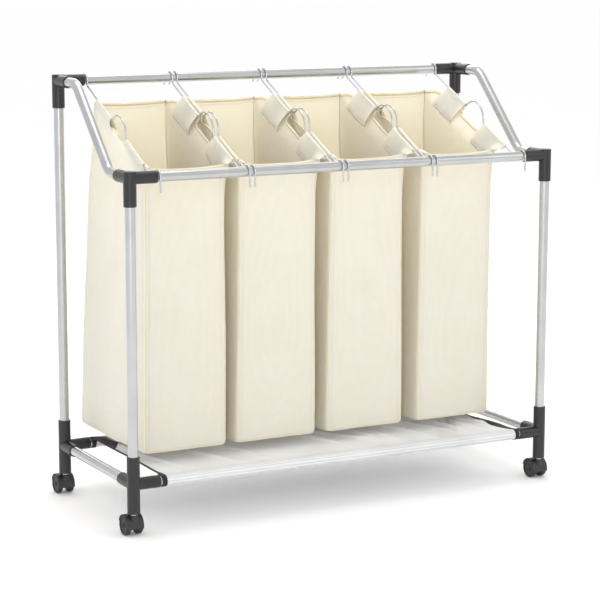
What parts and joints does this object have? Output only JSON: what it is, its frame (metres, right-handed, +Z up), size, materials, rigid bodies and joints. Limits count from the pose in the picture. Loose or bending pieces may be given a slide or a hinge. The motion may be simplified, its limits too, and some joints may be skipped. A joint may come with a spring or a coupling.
{
  "type": "laundry sorter",
  "caption": "Rolling laundry sorter: a silver tube frame with black corner joints and a mesh shelf carries a row of open cream cloth bags hung on wire hooks.",
  "frame": {"origin": "centre of the bounding box at floor level", "axes": "+X along the rails to the right as seen from the front, +Y to the taller back, +Z up"},
  "size_m": [0.9342, 0.3923, 0.8283],
  "materials": {
    "silver_tube": "satin silver coating on thin steel tube",
    "connector_plastic": "satin black moulded plastic",
    "caster_plastic": "satin black moulded plastic",
    "wheel_plastic": "smooth black nylon",
    "bright_steel": "zinc-bright steel",
    "hanger_wire": "bright drawn wire",
    "bag_cloth": "cream woven polyester cloth with bound seams",
    "shelf_net": "fine white net, slightly see-through",
    "binding_tape": "black woven tape"
  },
  "bodies": {
    "frame": {"post_front_left": "silver_tube", "top_corner_front_left": "connector_plastic", "bottom_corner_front_left": "connector_plastic", "caster_stem_front_left": "bright_steel", "post_front_right": "silver_tube", "top_corner_front_right": "connector_plastic", "bottom_corner_front_right": "connector_plastic", "caster_stem_front_right": "bright_steel", "post_rear_left": "silver_tube", "top_corner_rear_left": "connector_plastic", "bottom_corner_rear_left": "connector_plastic", "caster_stem_rear_left": "bright_steel", "post_rear_right": "silver_tube", "top_corner_rear_right": "connector_plastic", "bottom_corner_rear_right": "connector_plastic", "caster_stem_rear_right": "bright_steel", "top_rail_front": "silver_tube", "top_rail_rear": "silver_tube", "side_tube_left": "silver_tube", "side_tube_right": "silver_tube", "bottom_rail_front": "silver_tube", "bottom_rail_rear": "silver_tube", "bottom_rail_left": "silver_tube", "bottom_rail_right": "silver_tube", "shelf_mesh": "shelf_net", "shelf_binding_left": "binding_tape", "shelf_binding_right": "binding_tape"},
    "caster_front_left": {"caster_hood_front_left": "caster_plastic", "caster_axle_front_left": "bright_steel"},
    "wheel_front_left_left": {"wheel_front_left_left": "wheel_plastic"},
    "wheel_front_left_right": {"wheel_front_left_right": "wheel_plastic"},
    "caster_front_right": {"caster_hood_front_right": "caster_plastic", "caster_axle_front_right": "bright_steel"},
    "wheel_front_right_left": {"wheel_front_right_left": "wheel_plastic"},
    "wheel_front_right_right": {"wheel_front_right_right": "wheel_plastic"},
    "caster_rear_left": {"caster_hood_rear_left": "caster_plastic", "caster_axle_rear_left": "bright_steel"},
    "wheel_rear_left_left": {"wheel_rear_left_left": "wheel_plastic"},
    "wheel_rear_left_right": {"wheel_rear_left_right": "wheel_plastic"},
    "caster_rear_right": {"caster_hood_rear_right": "caster_plastic", "caster_axle_rear_right": "bright_steel"},
    "wheel_rear_right_left": {"wheel_rear_right_left": "wheel_plastic"},
    "wheel_rear_right_right": {"wheel_rear_right_right": "wheel_plastic"},
    "bag_1": {"bag_1": "bag_cloth", "hanger_1_left": "hanger_wire", "hanger_1_right": "hanger_wire"},
    "bag_2": {"bag_2": "bag_cloth", "hanger_2_left": "hanger_wire", "hanger_2_right": "hanger_wire"},
    "bag_3": {"bag_3": "bag_cloth", "hanger_3_left": "hanger_wire", "hanger_3_right": "hanger_wire"},
    "bag_4": {"bag_4": "bag_cloth", "hanger_4_left": "hanger_wire", "hanger_4_right": "hanger_wire"}
  },
  "joints": [
    {"name": "swivel_front_left", "type": "hinge", "parent": "frame", "child": "caster_front_left", "pos_m": [-0.45, -0.18285, 0.03], "axis": [0, 0, 1], "continuous": true},
    {"name": "roll_front_left_left", "type": "hinge", "parent": "caster_front_left", "child": "wheel_front_left_left", "pos_m": [-0.46185, -0.17085, 0.0185], "axis": [1, 0, 0], "continuous": true},
    {"name": "roll_front_left_right", "type": "hinge", "parent": "caster_front_left", "child": "wheel_front_left_right", "pos_m": [-0.43815, -0.17085, 0.0185], "axis": [1, 0, 0], "continuous": true},
    {"name": "swivel_front_right", "type": "hinge", "parent": "frame", "child": "caster_front_right", "pos_m": [0.45, -0.18285, 0.03], "axis": [0, 0, 1], "continuous": true},
    {"name": "roll_front_right_left", "type": "hinge", "parent": "caster_front_right", "child": "wheel_front_right_left", "pos_m": [0.43815, -0.17085, 0.0185], "axis": [1, 0, 0], "continuous": true},
    {"name": "roll_front_right_right", "type": "hinge", "parent": "caster_front_right", "child": "wheel_front_right_right", "pos_m": [0.46185, -0.17085, 0.0185], "axis": [1, 0, 0], "continuous": true},
    {"name": "swivel_rear_left", "type": "hinge", "parent": "frame", "child": "caster_rear_left", "pos_m": [-0.45, 0.15315, 0.03], "axis": [0, 0, 1], "continuous": true},
    {"name": "roll_rear_left_left", "type": "hinge", "parent": "caster_rear_left", "child": "wheel_rear_left_left", "pos_m": [-0.46185, 0.16515, 0.0185], "axis": [1, 0, 0], "continuous": true},
    {"name": "roll_rear_left_right", "type": "hinge", "parent": "caster_rear_left", "child": "wheel_rear_left_right", "pos_m": [-0.43815, 0.16515, 0.0185], "axis": [1, 0, 0], "continuous": true},
    {"name": "swivel_rear_right", "type": "hinge", "parent": "frame", "child": "caster_rear_right", "pos_m": [0.45, 0.15315, 0.03], "axis": [0, 0, 1], "continuous": true},
    {"name": "roll_rear_right_left", "type": "hinge", "parent": "caster_rear_right", "child": "wheel_rear_right_left", "pos_m": [0.43815, 0.16515, 0.0185], "axis": [1, 0, 0], "continuous": true},
    {"name": "roll_rear_right_right", "type": "hinge", "parent": "caster_rear_right", "child": "wheel_rear_right_right", "pos_m": [0.46185, 0.16515, 0.0185], "axis": [1, 0, 0], "continuous": true},
    {"name": "lift_off_1", "type": "slide", "parent": "frame", "child": "bag_1", "axis": [0, 0, 1], "range_m": [0, 0.045]},
    {"name": "lift_off_2", "type": "slide", "parent": "frame", "child": "bag_2", "axis": [0, 0, 1], "range_m": [0, 0.045]},
    {"name": "lift_off_3", "type": "slide", "parent": "frame", "child": "bag_3", "axis": [0, 0, 1], "range_m": [0, 0.045]},
    {"name": "lift_off_4", "type": "slide", "parent": "frame", "child": "bag_4", "axis": [0, 0, 1], "range_m": [0, 0.045]}
  ]
}
